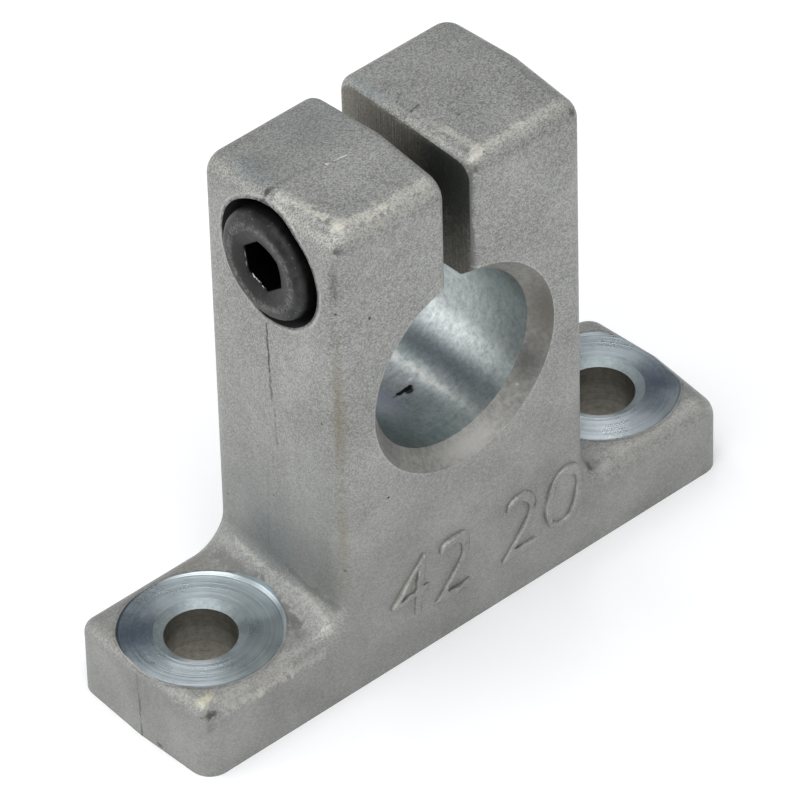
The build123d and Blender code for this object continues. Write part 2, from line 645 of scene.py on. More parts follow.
@dataclass(frozen=True)
class CastSkin:
    """The tumbled skin of the casting: sandy grain, rubbed edges, parting line, stains and pits, with
    painted shade on its upward faces and painted light and shade where it is given.
    """

    name: str
    dark: Colour = (0.137, 0.14, 0.133, 1.0)
    light: Colour = (0.59, 0.59, 0.563, 1.0)
    rubbed: Colour = (0.70, 0.68, 0.60, 1.0)
    metallic: float = 0.68
    roughness: float = 0.60
    grains: float = 12.0
    clouds: float = 0.22
    relief: float = 0.032
    upward_lean: Span = (0.05, 0.5)
    sand_by_level: Ramp = (4.0, 28.0, 0.22, 0.85)
    tone_by_level: Ramp = (6.0, 16.0, 0.365, 0.47)
    upward_painted_shade_by_level: Ramp = (6.0, 24.0, -0.065, 0.055)
    speck_share: float = 0.45
    cloud_share: float = 0.5
    edge_lean: Span = (0.04, 0.3)
    edge_by_level: Ramp = (5.0, 30.0, 0.14, 0.26)
    pore_cells: float = 0.9
    pore_share: float = 0.08
    pore_radius: float = 0.1
    pore_depth: float = 1.2
    pore_colour: Colour = grey(0.05, 0.1)
    striation: float = 0.0
    streak_stretch: Place = (4.0, 7.0, 0.3)
    streak_depth: float = 2.5
    streak_colour: Colour = (0.12, 0.11, 0.08, 1.0)
    marks: tuple[Mark, ...] = ()
    wear_and_painted_light: tuple[Stroke, ...] = ()
    strokes: tuple[Stroke, ...] = ()
    rims: tuple[Rim, ...] = ()
    relief_foot: float | None = None

    def paint_relief_light_and_shade(self, surface: Surface, colour: Socket, foot: float) -> Socket:
        """Darkens a relief at its foot, paints shade on its right and lower sides, and paints light on the
        other sides.

        Args:
            surface: The surface.
            colour: The colour below.
            foot: The Y of the face that the relief stands on.

        Returns:
            The colour with the relief's painted light and shade.
        """
        sheet = surface.sheet
        rise = sheet.minus(foot, sheet.parts(surface.place)[1])
        lean_x, _, lean_z = sheet.parts(surface.normal)
        lee = sheet.minus(lean_x, lean_z)
        patchy = sheet.step(sheet.noise(surface.place, 1.1, 4.0, 0.65), 0.38, 0.58, 0.25, 1.0)
        # Painted shade on the sides that face right and down, and painted light in the rubbed colour on the
        # sides that face left and up.
        leeward = sheet.step(lee, 0.1, 0.6, 0.0, 0.9)
        foot_and_painted_shade = sheet.math("MAXIMUM", leeward, sheet.step(rise, 0.0, 0.09, 0.4, 0.0))
        painted_light_sides = sheet.times(sheet.step(lee, -0.9, -0.3, 0.4, 0.0), sheet.minus(1.2, patchy))
        colour = sheet.blend(painted_light_sides, colour, self.rubbed)
        return sheet.blend(sheet.times(foot_and_painted_shade, patchy), colour, grey(0.075, 0.06))

    def material(self, shelf: EffectShelf) -> bpy.types.Material:
        """Builds the material.

        Args:
            shelf: The shared effects.

        Returns:
            The material.
        """
        surface = Surface(self.name, shelf)
        sheet, place, normal = surface.sheet, surface.place, surface.normal
        # Sand grain over soft clouds. Both the grain and the tone rise towards the top. Upward faces also
        # get a painted shade: lighter low down and darker high up.
        grain = surface.effect(Effect.GRAIN, Place=place, Grains=self.grains, Clouds=self.clouds)
        level = sheet.parts(place)[2]
        upward = sheet.step(sheet.parts(normal)[2], *self.upward_lean)
        depth = sheet.plus(sheet.step(level, *self.sand_by_level), sheet.times(upward, 0.2))
        upward_painted_shade = sheet.times(upward, sheet.step(level, *self.upward_painted_shade_by_level))
        speck = sheet.times(grain["Speck"], self.speck_share)
        sand = sheet.plus(sheet.times(grain["Fine"], 1 - self.speck_share), speck)
        sand = sheet.times(sheet.minus(sand, 0.5), depth)
        cloud = sheet.times(sheet.minus(grain["Cloud"], 0.5), self.cloud_share)
        base = sheet.minus(sheet.step(level, *self.tone_by_level), upward_painted_shade)
        tone = sheet.plus(sheet.plus(sand, cloud), base, clamp=True)
        colour = sheet.blend(tone, self.dark, self.light)
        height = sheet.times(grain["Height"], depth)

        # Streaks that the core leaves on its walls
        if self.striation:
            streaks = surface.effect(Effect.STREAKS, Place=place, Stretch=self.streak_stretch)["Tone"]
            colour = sheet.blend(sheet.times(streaks, self.striation), colour, self.streak_colour)
            height = sheet.plus(height, sheet.times(streaks, self.streak_depth))

        # Upper edges rubbed bare in the tumbler, and pores
        start, full = self.edge_lean
        edges = surface.mask(Effect.RUBBED, Direction=normal, Start=start, Full=full)
        grainy = sheet.step(grain["Speck"], 0.1, 0.9, 0.4, 1.0)
        worn = sheet.times(edges, sheet.times(upward, grainy))
        share = sheet.times(worn, sheet.step(level, *self.edge_by_level))
        colour = sheet.blend(share, colour, self.rubbed)
        sizes = {"Cells": self.pore_cells, "Share": self.pore_share, "Radius": self.pore_radius}
        pores = surface.mask(Effect.PITS, **sizes)
        colour = sheet.blend(sheet.times(pores, 0.7), colour, self.pore_colour)
        height = sheet.minus(height, sheet.times(pores, self.pore_depth))

        # Painted light and shade on the sides of a raised relief.
        if self.relief_foot is not None:
            colour = self.paint_relief_light_and_shade(surface, colour, self.relief_foot)

        # What stands in one place only: rubbed bands with painted shade and painted highlight, then stains
        # with painted shade and a painted reflection, then lines, then rims with a painted shadow and a
        # painted highlight
        broken = sheet.noise(place, 2.2, 3.0, 0.6)
        bright, _ = surface.stroked(colour, broken, self.wear_and_painted_light)
        colour = sheet.blend(sheet.step(grain["Speck"], 0.0, 0.8, 0.6, 1.0), colour, bright)
        colour = surface.marked(colour, self.marks)
        colour, cuts = surface.stroked(colour, broken, self.strokes)
        height = sheet.minus(height, cuts)
        colour = surface.rimmed(colour, broken, self.rims)
        rough = sheet.minus(self.roughness + 0.12, sheet.times(grain["Speck"], 0.2))
        return surface.finish(
            Base_Color=colour,
            Roughness=sheet.minus(rough, sheet.times(worn, 0.08)),
            Metallic=self.metallic,
            Normal=surface.bump(0.7, self.relief, height),
        )


@dataclass(frozen=True)
class TurnedFace:
    """Faces turned round upright axes at centre_x on both sides, with fine tool rings."""

    name: str
    centre_x: float
    dark: Colour = (0.40, 0.455, 0.475, 1.0)
    light: Colour = (0.55, 0.61, 0.63, 1.0)
    roughness: float = 0.3
    pitch: float = 0.02
    tilt: float = 2.2
    edge: Span = (4.84, 4.93)
    edge_strength: float = 0.7
    edge_colour: Colour = (0.12, 0.14, 0.15, 1.0)
    edge_outward: Span = (-2.0, 1.0)
    marks: tuple[Mark, ...] = ()

    def material(self, shelf: EffectShelf) -> bpy.types.Material:
        """Builds the material.

        Args:
            shelf: The shared effects.

        Returns:
            The material.
        """
        surface = Surface(self.name, shelf)
        sheet, place = surface.sheet, surface.place
        x, y, _ = sheet.parts(place)
        side = sheet.math("SIGN", x)
        away = sheet.joined(sheet.minus(x, sheet.times(side, self.centre_x)), y, 0.0)
        radius = sheet.length(away)
        rings = surface.rings(radius, sheet.vector("NORMALIZE", away), self.pitch, self.tilt)
        cloud = sheet.noise(place, 0.5, 3.0, 0.5)
        tone = sheet.step(sheet.plus(rings["Tone"], sheet.minus(cloud, 0.5)), 0.25, 0.75)
        colour = sheet.blend(tone, self.dark, self.light)
        colour = surface.marked(colour, self.marks)
        outer = sheet.minus(sheet.math("ABSOLUTE", x), self.centre_x)
        rim = sheet.step(radius, *self.edge, 0.0, self.edge_strength)
        rim = sheet.times(rim, sheet.step(outer, *self.edge_outward))
        colour = sheet.blend(rim, colour, self.edge_colour)
        rough = sheet.step(cloud, 0.3, 0.7, self.roughness - 0.04, self.roughness + 0.05)
        return surface.finish(Base_Color=colour, Roughness=rough, Metallic=1.0, Normal=rings["Normal"])


@dataclass(frozen=True)
class BoredFace:
    """A face bored or reamed round the shaft's line or an upright hole, with marks round it."""

    name: str
    dark: Colour
    light: Colour
    roughness: float
    along: Place
    pitch: float = 0.09
    tilt: float = 0.12
    mottle: float = 0.6
    relief: float = 0.01
    metallic: float = 1.0
    marks: tuple[Mark, ...] = ()
    lines: tuple[Stroke, ...] = ()

    def material(self, shelf: EffectShelf) -> bpy.types.Material:
        """Builds the material.

        Args:
            shelf: The shared effects.

        Returns:
            The material.
        """
        surface = Surface(self.name, shelf)
        sheet, place = surface.sheet, surface.place
        travel = sheet.length(sheet.vector("MULTIPLY", place, self.along))
        rings = surface.rings(travel, self.along, self.pitch, self.tilt)
        mottle = sheet.noise(place, 2.6, 6.0, 0.75)
        tone = sheet.times(rings["Tone"], 1 - self.mottle)
        tone = sheet.plus(sheet.times(mottle, self.mottle), tone)
        colour = sheet.blend(sheet.step(tone, 0.27, 0.73), self.dark, self.light)
        colour = surface.marked(colour, self.marks)
        colour, _ = surface.stroked(colour, mottle, self.lines)
        return surface.finish(
            Base_Color=colour,
            Roughness=sheet.step(mottle, 0.3, 0.7, self.roughness + 0.03, self.roughness - 0.02),
            Metallic=self.metallic,
            Normal=surface.bump(0.15, self.relief, mottle, Normal=rings["Normal"]),
        )


@dataclass(frozen=True)
class GroundFace:
    """The milled underside, with parallel arcs of the cutter across it."""

    name: str = "milled_underside"
    cutter_spot: Place = (-70.0, 0.0, 0.0)
    pitch: float = 0.22
    tilt: float = 0.25
    dark: Colour = grey(0.42, -0.01)
    light: Colour = grey(0.62)

    def material(self, shelf: EffectShelf) -> bpy.types.Material:
        """Builds the material.

        Args:
            shelf: The shared effects.

        Returns:
            The material.
        """
        surface = Surface(self.name, shelf)
        sheet, place = surface.sheet, surface.place
        from_cutter = sheet.length(sheet.vector("SUBTRACT", place, self.cutter_spot))
        rings = surface.rings(from_cutter, (1.0, 0.0, 0.0), self.pitch, self.tilt)
        grain = surface.effect(Effect.GRAIN, Place=place, Grains=6.0, Clouds=0.4)
        tone = sheet.plus(rings["Tone"], sheet.times(sheet.minus(grain["Cloud"], 0.5), 0.5))
        colour = sheet.blend(sheet.step(tone, 0.3, 0.7), self.dark, self.light)
        rough = sheet.step(grain["Fine"], 0.3, 0.7, 0.3, 0.42)
        return surface.finish(Base_Color=colour, Roughness=rough, Metallic=1.0, Normal=rings["Normal"])


@dataclass(frozen=True)
class BlackOxide:
    """The oiled black oxide of the screw, with dust, scuffs and edges worn to bare steel, painted glints on
    the socket's edge, and painted shade in the dish, on the head's side and in the socket.
    """

    name: str = "black_oxide"
    axis_y: float = -0.3
    axis_z: float = 30.25
    head_face: float = -10.6
    oxide: Colour = grey(0.002)
    faded_oxide: Colour = grey(0.025, 0.03)
    dust: Colour = grey(0.3, 0.04)
    dust_cells: float = 4.0
    dust_share: float = 0.3
    dust_radius: float = 0.26
    edge_lean: Span = (0.12, 0.4)
    dish_edge: Span = (2.2, 2.5)
    ridge_inside: Span = (2.35, 2.6)
    ridge_outside: Span = (2.75, 3.1)
    side_radius: Span = (3.0, 3.5)
    side_depth: Span = (0.2, 0.75)
    socket_radius: Span = (1.8, 1.9)
    socket_top: Span = (0.28, 0.4)
    socket_floor: Span = (3.2, 3.8)
    relief: float = 0.02
    # Painted glints along the socket's left and lower-left edges.
    strokes: tuple[Stroke, ...] = (
        Stroke((-10.33, 1.28, 30.5), (-10.35, 1.13, 29.5), 0.04, 0.6, grey(0.4)),
        Stroke((-10.25, 0.8, 29.05), (-10.28, -0.4, 28.63), 0.06, 1.0, grey(0.8)),
        Stroke((-10.3, 1.1, 29.2), (-10.25, 0.8, 29.05), 0.04, 0.6, grey(0.35)),
    )

    def material(self, shelf: EffectShelf) -> bpy.types.Material:
        """Builds the material.

        Args:
            shelf: The shared effects.

        Returns:
            The material.
        """
        surface = Surface(self.name, shelf)
        sheet, place, normal = surface.sheet, surface.place, surface.normal
        # Oxide with dust, and edges worn to bare steel
        grain = surface.effect(Effect.GRAIN, Place=place, Grains=11.0, Clouds=1.3)
        colour = sheet.blend(sheet.step(grain["Cloud"], 0.35, 0.65), self.oxide, self.faded_oxide)
        sizes = {"Cells": self.dust_cells, "Share": self.dust_share, "Radius": self.dust_radius}
        dust = surface.mask(Effect.PITS, **sizes)
        colour = sheet.blend(sheet.times(dust, 0.32), colour, self.dust)
        start, full = self.edge_lean
        edges = surface.mask(Effect.RUBBED, Direction=normal, Start=start, Full=full)
        colour = sheet.blend(sheet.times(edges, 0.04), colour, grey(0.2))

        # Painted shade in the dish, inside a ridge that is lighter partly from wear and partly as a painted
        # highlight
        x, y, z = sheet.parts(place)
        off_axis = sheet.length(sheet.joined(0.0, sheet.minus(y, self.axis_y), sheet.minus(z, self.axis_z)))
        dish = sheet.step(off_axis, *self.dish_edge, 0.8, 0.0)
        colour = sheet.blend(dish, colour, grey(0.006))
        outside = sheet.step(off_axis, *self.ridge_outside, 1.0, 0.0)
        ridge = sheet.times(sheet.step(off_axis, *self.ridge_inside), outside)
        ridge = sheet.times(ridge, sheet.step(sheet.noise(place, 3.5, 4.0, 0.7), 0.4, 0.62))
        colour = sheet.blend(sheet.times(ridge, 0.4), colour, grey(0.24, 0.04))

        # The head's side and the socket get no light from outside.
        behind = sheet.minus(x, self.head_face)
        side = sheet.step(behind, *self.side_depth)
        side = sheet.times(side, sheet.step(off_axis, *self.side_radius))
        deep = sheet.step(behind, *self.socket_top)
        deep = sheet.times(deep, sheet.step(off_axis, *self.socket_radius, 1.0, 0.0))
        deep = sheet.times(deep, sheet.step(behind, *self.socket_floor, 1.0, 0.0))
        hidden = sheet.math("MAXIMUM", sheet.times(side, 0.85), deep)
        colour = sheet.blend(hidden, colour, self.oxide)

        # Painted glints on the socket's edge
        broken = sheet.noise(place, 3.5, 3.0, 0.6)
        colour, _ = surface.stroked(colour, broken, self.strokes)
        rough = sheet.step(grain["Fine"], 0.3, 0.75, 0.38, 0.56)
        return surface.finish(
            Base_Color=colour,
            Roughness=sheet.plus(rough, sheet.times(hidden, 0.35)),
            Metallic=0.35,
            Specular_IOR_Level=sheet.minus(0.5, sheet.times(hidden, 0.5)),
            Normal=surface.bump(0.35, self.relief, sheet.plus(grain["Height"], dust)),
        )


@dataclass(frozen=True)
class FloorPaint:
    """The studio floor's pale matt paint."""

    name: str = "pale_floor"
    dark: Colour = grey(0.93)
    light: Colour = grey(0.95)
    roughness: float = 0.9
    glow: float = 0.13

    def material(self, shelf: EffectShelf) -> bpy.types.Material:
        """Builds the material.

        Args:
            shelf: The shared effects.

        Returns:
            The material.
        """
        surface = Surface(self.name, shelf)
        sheet, place = surface.sheet, surface.place
        colour = sheet.blend(sheet.noise(place, 0.02, 2.0, 0.5), self.dark, self.light)
        glow = {"Emission_Color": grey(1.0), "Emission_Strength": self.glow}
        return surface.finish(Base_Color=colour, Roughness=self.roughness, **glow)


def only_select(piece: bpy.types.Object) -> None:
    """Makes a piece the only selected and active one.

    Args:
        piece: The piece.
    """
    bpy.ops.object.select_all(action="DESELECT")
    piece.select_set(True)
    bpy.context.view_layer.objects.active = piece


def apply_modifier(piece: bpy.types.Object, kind: str, **settings: object) -> None:
    """Adds a modifier to a piece and applies it.

    Args:
        piece: The piece.
        kind: The modifier's type.
        settings: Its options.
    """
    only_select(piece)
    modifier = piece.modifiers.new(kind.lower(), kind)
    for name, value in settings.items():
        setattr(modifier, name, value)
    bpy.ops.object.modifier_apply(modifier=modifier.name)


class Zone(Enum):
    """The finishes of the casting's faces, numbered as its material slots."""

    CAST = 0
    SLOT = 1
    BORE = 2
    MOUTH = 3
    SPOTFACE = 4
    DRILLED = 5
    GROUND = 6
    WELL = 7
    FLARE = 8


@dataclass
class CastBlock:
    """The casting: its node keeps its shape, and each face gets the finish of its zone."""

    node: str = "support_block"
    slot_middle: float = -0.1
    slot_reach: float = 1.1
    spotface_level: float = 5.2
    spotface_radius: float = 5.15
    spotface_wall: float = 2.5
    hole_level: float = 4.88
    hole_flare: float = 0.65
    mouth_flare: float = 1.3
    mouth_width: float = 1.06
    screw_line: tuple[float, float] = (-0.3, 30.25)
    well_radius: float = 4.2
    well_floor: float = -6.55
    screw_hole_radius: float = 2.5
    near: float = 0.06
    hair: float = 0.01
    square_to: float = 0.9
    square_to_bore: float = 0.95
    leaning: float = 0.3

    def __post_init__(self) -> None:
        """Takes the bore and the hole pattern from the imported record."""
        mounts = {mount["name"]: mount for mount in frame["record"]["mounts"]}
        self.shaft_height = mounts["shaft_bore"]["pos_m"][2] / MM
        self.bore_radius = mounts["shaft_bore"]["dims"]["r_mm"]
        self.hole_place = mounts["foot_holes"]["dims"]["spacing_x_mm"] / 2
        self.hole_radius = mounts["foot_holes"]["dims"]["hole_r_mm"]

    def zone(self, centre: Vector, normal: Vector) -> Zone:
        """Tells which finish a face has.

        Args:
            centre: The face's middle, in millimetres.
            normal: The face's normal.

        Returns:
            The zone.
        """
        off_bore = Vector((centre.x, centre.z - self.shaft_height))
        inward = -off_bore.normalized().dot(Vector((normal.x, normal.z)))
        off_hole = math.hypot(abs(centre.x) - self.hole_place, centre.y)
        off_screw = math.hypot(centre.y - self.screw_line[0], centre.z - self.screw_line[1])
        # The rule tries the machined faces and the slot first. The rest is cast skin.
        if centre.z < self.near and normal.z < -self.square_to:
            return Zone.GROUND
        if inward > self.square_to_bore and abs(off_bore.length - self.bore_radius) < self.near:
            return Zone.BORE
        slanted = inward > self.leaning and abs(normal.y) > self.leaning
        if slanted and off_bore.length < self.bore_radius + self.mouth_flare:
            return Zone.MOUTH
        if abs(centre.x - self.slot_middle) < self.slot_reach and abs(normal.x) > self.square_to:
            return Zone.SLOT
        if off_hole < self.hole_radius + self.near and centre.z < self.hole_level:
            return Zone.DRILLED
        if off_hole < self.hole_radius + self.hole_flare and centre.z < self.spotface_level - self.hair:
            return Zone.FLARE
        rise = centre.z - self.spotface_level
        if off_hole < self.spotface_radius and -self.hair < rise < self.spotface_wall:
            return Zone.SPOTFACE
        if centre.x < self.well_floor + self.near:
            return Zone.WELL if off_screw < self.well_radius else Zone.CAST
        if off_screw < self.screw_hole_radius:
            return Zone.DRILLED
        return Zone.CAST

    def skin_marks(self) -> tuple[Mark, ...]:
        """Gives the stains, patches and pits of the cast skin, with painted shade and a painted reflection
        among them, from the lowest up.

        Returns:
            The marks.
        """
        light, dark = grey(0.62, 0.07), grey(0.08, 0.06)
        pale = (0.78, 0.75, 0.66, 1.0)
        yellow = (0.66, 0.63, 0.48, 1.0)
        stain = (0.25, 0.225, 0.17, 1.0)
        bluish = (0.19, 0.23, 0.24, 1.0)
        return (
            # Near jaw: its front corner, the edge below it and its top
            Mark((-8.35, -4.7, 34.8), (0.7, 0.65, 0.6), pale, 0.6, 1.0, 1.6),
            Mark((-8.5, -4.05, 34.85), (0.5, 0.35, 0.3), dark, 0.55, 0.9, 2.0),
            Mark((-9.1, -5.6, 33.9), (0.55, 0.5, 0.42), dark, 0.8, 0.9, 1.6),
            Mark((-9.45, -5.5, 31.5), (0.45, 0.4, 2.6), dark, 0.5, 1.0, 1.4),
            Mark((-9.4, -5.5, 21.5), (0.75, 0.55, 7.5), stain, 0.75, 1.0, 1.4),
            Mark((-9.4, -5.5, 12.0), (0.7, 0.55, 6.0), stain, 0.5, 1.0, 1.4),
            Mark((-8.7, 2.4, 34.9), (2.2, 2.6, 0.8), bluish, 0.35, 1.0, 0.6),
            Mark((-3.5, 3.0, 35.0), (4.0, 3.5, 0.5), bluish, 0.3, 1.0, 0.6),
            # Far jaw, with painted shade on its corner by the slot
            Mark((1.75, -5.2, 34.6), (0.7, 0.55, 0.4), pale, 0.7, 1.0, 1.4),
            Mark((1.3, -5.6, 34.1), (0.55, 0.45, 0.35), dark, 0.6, 0.9, 1.6),
            Mark((8.97, -5.62, 34.05), (0.6, 0.5, 0.4), dark, 0.7, 0.9, 1.6),
            Mark((1.1, 3.4, 34.7), (0.8, 2.8, 0.6), bluish, 0.5, 1.0, 1.0),
            Mark((3.34, -2.03, 34.95), (0.14, 0.14, 0.2), dark, 0.8, 0.6, 0.6),
            # Foot's corner and its end
            Mark((-19.7, -4.75, 5.3), (0.95, 0.6, 0.4), yellow, 0.85, 1.0, 2.2),
            Mark((-20.1, -5.5, 4.75), (0.6, 0.5, 0.45), dark, 0.9, 0.9, 1.8),
            Mark((-19.8, -5.62, 4.75), (0.4, 0.3, 0.3), dark, 0.6, 0.9, 1.6),
            Mark((-20.2, -5.7, 3.9), (0.4, 0.35, 0.8), dark, 0.35, 1.0, 1.6),
            Mark((-21.0, -1.72, 0.27), (0.3, 0.35, 0.25), dark, 0.8, 0.8, 1.2),
            # Two pores of the front face
            Mark((-7.2, -5.95, 28.05), (0.13, 0.3, 0.15), grey(0.04), 0.9, 0.5, 0.3),
            Mark((-6.2, -5.95, 13.65), (0.11, 0.3, 0.09), grey(0.02), 1.0, 0.4, 0.2),
            # Painted reflection above the root, painted shade in the far root's crease with a light patch
            # beside it, and stains on the sides that face away
            Mark((-10.2, 1.0, 9.0), (0.9, 6.0, 5.0), bluish, 0.4, 1.0, 0.4),
            Mark((10.24, -5.33, 5.7), (0.7, 0.6, 0.7), dark, 0.8, 1.0, 1.2),
            Mark((11.4, -5.5, 5.1), (1.0, 0.5, 0.5), light, 0.6, 1.0, 1.2),
            Mark((-12.6, 4.8, 5.4), (2.6, 1.6, 0.9), stain, 0.35, 1.0, 0.8),
            Mark((-20.0, 2.8, 5.3), (1.2, 2.6, 0.6), stain, 0.35, 1.0, 0.8),
            Mark((9.6, 5.4, 20.0), (0.7, 0.7, 9.0), stain, 0.6, 1.0, 1.2),
        )

    def skin_wear_and_painted_light(self) -> tuple[Stroke, ...]:
        """Gives the rubbed bands along the edges of each jaw's top and the foot, with painted shade and
        painted highlight along the root and painted shade by the slot.

        Returns:
            The bands.
        """
        pale, warm = (0.72, 0.70, 0.62, 1.0), (0.64, 0.61, 0.56, 1.0)
        shade = grey(0.08, 0.04)
        return (
            # Near jaw
            Stroke((-9.0, -0.4, 34.9), (-8.4, -3.4, 34.85), 0.6, 0.5, pale),
            Stroke((-8.4, -3.4, 34.85), (-8.25, -4.8, 34.75), 0.7, 0.6, pale),
            Stroke((-8.25, -4.8, 34.75), (-5.3, -5.0, 34.72), 0.6, 0.5, pale),
            Stroke((-5.3, -5.0, 34.72), (-2.0, -5.1, 34.7), 0.7, 0.38, pale),
            Stroke((-8.0, -5.5, 34.2), (-1.8, -5.6, 34.2), 0.7, 0.28, pale),
            # Far jaw
            Stroke((1.5, -0.3, 34.95), (1.85, -2.6, 34.9), 0.5, 0.22, pale),
            Stroke((1.85, -2.6, 34.9), (2.1, -5.1, 34.7), 0.6, 0.42, pale),
            Stroke((2.1, -5.1, 34.7), (5.4, -5.1, 34.7), 0.65, 0.38, pale),
            Stroke((5.4, -5.1, 34.7), (8.7, -5.0, 34.7), 0.7, 0.32, pale),
            # Foot
            Stroke((-20.6, -2.8, 5.05), (-20.1, -4.6, 5.15), 0.5, 0.2, warm),
            Stroke((-19.2, -5.5, 4.95), (-14.0, -5.6, 4.85), 0.7, 0.25, warm),
            Stroke((-19.2, -5.7, 4.7), (-16.4, -5.78, 4.6), 0.5, 0.45, warm),
            Stroke((-16.4, -5.78, 4.6), (-14.0, -5.8, 4.55), 0.5, 0.5, warm),
            Stroke((-14.0, -5.8, 4.55), (-11.4, -5.83, 4.45), 0.5, 0.3, warm),
            # Root at the near end: painted shade low in the crease and just above the fillet, painted
            # highlight along the fillet, and a rubbed band on the foot's front edge
            Stroke((-11.1, 4.2, 5.5), (-11.1, 0.5, 5.6), 0.8, 0.34, shade),
            Stroke((-11.1, 0.5, 5.6), (-11.5, -3.4, 5.4), 0.8, 0.58, shade),
            Stroke((-11.5, -3.4, 5.4), (-12.1, -4.2, 5.3), 0.6, 0.3, shade),
            Stroke((-9.94, -1.0, 7.1), (-9.9, -5.2, 6.6), 0.42, 0.36, shade),
            Stroke((-10.2, 3.6, 6.4), (-10.28, 1.0, 6.3), 0.4, 0.55, warm),
            Stroke((-10.28, 1.0, 6.3), (-10.22, -2.8, 6.3), 0.36, 0.4, warm),
            Stroke((-10.22, -2.8, 6.3), (-10.45, -4.6, 5.8), 0.4, 0.35, warm),
            Stroke((-10.45, -4.6, 5.8), (-10.5, -5.35, 5.4), 0.5, 0.22, warm),
            Stroke((-11.9, -5.15, 5.15), (-14.5, -5.2, 5.15), 0.6, 0.18, warm),
            # Foot's far end, then painted shade along the far jaw's edge by the slot and round its top
            # corner
            Stroke((11.6, -5.5, 5.05), (19.2, -5.2, 5.1), 1.0, 0.32, warm),
            Stroke((11.2, -4.4, 5.4), (13.2, -4.8, 5.25), 0.9, 0.35, warm),
            Stroke((1.0, -5.55, 33.9), (1.0, -5.6, 26.2), 0.36, 0.6, shade),
            Stroke((1.5, -4.6, 34.75), (1.0, -5.3, 34.2), 0.45, 0.45, shade),
        )

    def skin_lines(self) -> tuple[Stroke, ...]:
        """Gives the dark lines of the cast skin: the parting line in stretches, and scratches.

        Returns:
            The lines.
        """
        line = 0.14
        return (
            # Parting line below the well
            Stroke((-10.0, 0.0, 25.6), (-9.99, -0.1, 22.0), line, 0.85),
            Stroke((-9.99, -0.1, 22.0), (-9.99, -0.2, 19.8), line, 0.6),
            Stroke((-9.98, -0.4, 19.2), (-9.98, -0.55, 16.6), line, 0.35),
            Stroke((-9.98, 0.4, 14.0), (-9.97, 0.7, 8.0), line, 0.12),
            # Near jaw's top: parting line and a bright scratch
            Stroke((-9.75, 0.3, 34.4), (-9.2, 0.35, 34.85), 0.24, 0.8),
            Stroke((-9.2, 0.35, 34.85), (-8.75, 0.3, 34.95), 0.2, 0.55),
            Stroke((-8.3, 0.3, 34.98), (-6.95, 0.3, 35.0), 0.22, 0.3, grey(0.12)),
            Stroke((-6.95, 0.3, 35.0), (-5.7, 0.1, 35.0), 0.15, 0.2, grey(0.12)),
            Stroke((-5.3, -0.25, 35.0), (-3.9, -0.45, 35.0), 0.1, 0.7, grey(0.8)),
            # Far jaw's top: parting line and two scratches
            Stroke((0.95, -0.1, 34.84), (1.5, 0.0, 34.97), 0.12, 0.5),
            Stroke((1.5, 0.0, 34.97), (2.2, 0.15, 35.0), 0.15, 0.7),
            Stroke((1.45, 1.2, 34.95), (2.55, 1.95, 34.92), 0.13, 0.45),
            Stroke((1.3, 2.6, 34.9), (2.3, 2.7, 34.9), 0.1, 0.35),
            # Parting line on the foot's ends and on the far side
            Stroke((-21.0, 0.05, 4.8), (-21.0, -0.13, 2.8), line, 0.3),
            Stroke((-21.0, -0.13, 2.8), (-21.0, -0.22, 0.0), line, 0.6),
            Stroke((21.0, 0.1, 5.0), (21.0, 0.2, 0.0), line, 0.5),
            Stroke((10.0, 0.1, 33.5), (10.0, 0.0, 20.0), line, 0.45),
            Stroke((10.0, 0.0, 17.0), (10.0, 0.2, 8.0), line, 0.3),
        )

    def skin_rims(self) -> tuple[Rim, ...]:
        """Gives the rims round the bore's mouths, the spotfaces and the screw's well: light rims at the
        bore's mouths, dark rims round the spotfaces, and round the well a painted shadow in the gap by the
        head with a painted highlight on the edge outside it.

        Returns:
            The rims.
        """
        bore_line, well_line = (0.0, 0.0, self.shaft_height), (-9.95, *self.screw_line)
        flat, even = (1.0, 1.0, 5.0), (1.0, 1.0, 1.0)
        dull, bright = grey(0.1), grey(0.75, 0.02)
        left, right = ((side * self.hole_place, 0.0, 5.38) for side in (-1, 1))
        return (
            Rim(bore_line, (1.0, 0.0, 1.0), self.bore_radius + self.mouth_width, 0.12, 0.22, bright),
            Rim(left, flat, self.spotface_radius, 0.14, 0.45, dull),
            Rim(right, flat, self.spotface_radius, 0.14, 0.45, dull),
            # Painted shadow in the gap round the screw's head, and a painted highlight on the well's edge
            # just outside it.
            Rim(well_line, even, self.well_radius, 0.13, 0.85, grey(0.06)),
            Rim(well_line, even, self.well_radius + 0.2, 0.1, 0.3, bright),
        )

    def cast_finishes(self) -> dict[Zone, CastSkin]:
        """Gives the finishes that the mould leaves: the outside and the slot's walls, with painted shade
        down the slot.

        Returns:
            The finish of each cast zone.
        """
        shade = (0.035, 0.042, 0.038, 1.0)
        # Painted shade down the slot's wall, darkest near the top and the front.
        slot_painted_shade = (
            Mark((0.7, -4.3, 33.5), (3.0, 4.6, 7.2), shade, 0.9, 0.7, 0.6),
            Mark((0.7, -3.4, 27.0), (3.0, 4.4, 5.0), shade, 0.35, 1.0, 0.3),
        )
        return {
            Zone.CAST: CastSkin(
                "cast_skin",
                marks=self.skin_marks(),
                wear_and_painted_light=self.skin_wear_and_painted_light(),
                strokes=self.skin_lines(),
                rims=self.skin_rims(),
            ),
            Zone.SLOT: CastSkin(
                "slot_wall",
                dark=(0.13, 0.125, 0.105, 1.0),
                light=(0.50, 0.48, 0.43, 1.0),
                striation=0.75,
                marks=slot_painted_shade,
            ),
        }

    def bore_finish(self) -> BoredFace:
        """Gives the burnished bore, with green and blue tint and painted reflection bands, its pore with a
        painted glint, and one painted bright line.

        Returns:
            The bore's finish.
        """
        green, blue = (0.13, 0.195, 0.18, 1.0), (0.18, 0.215, 0.28, 1.0)
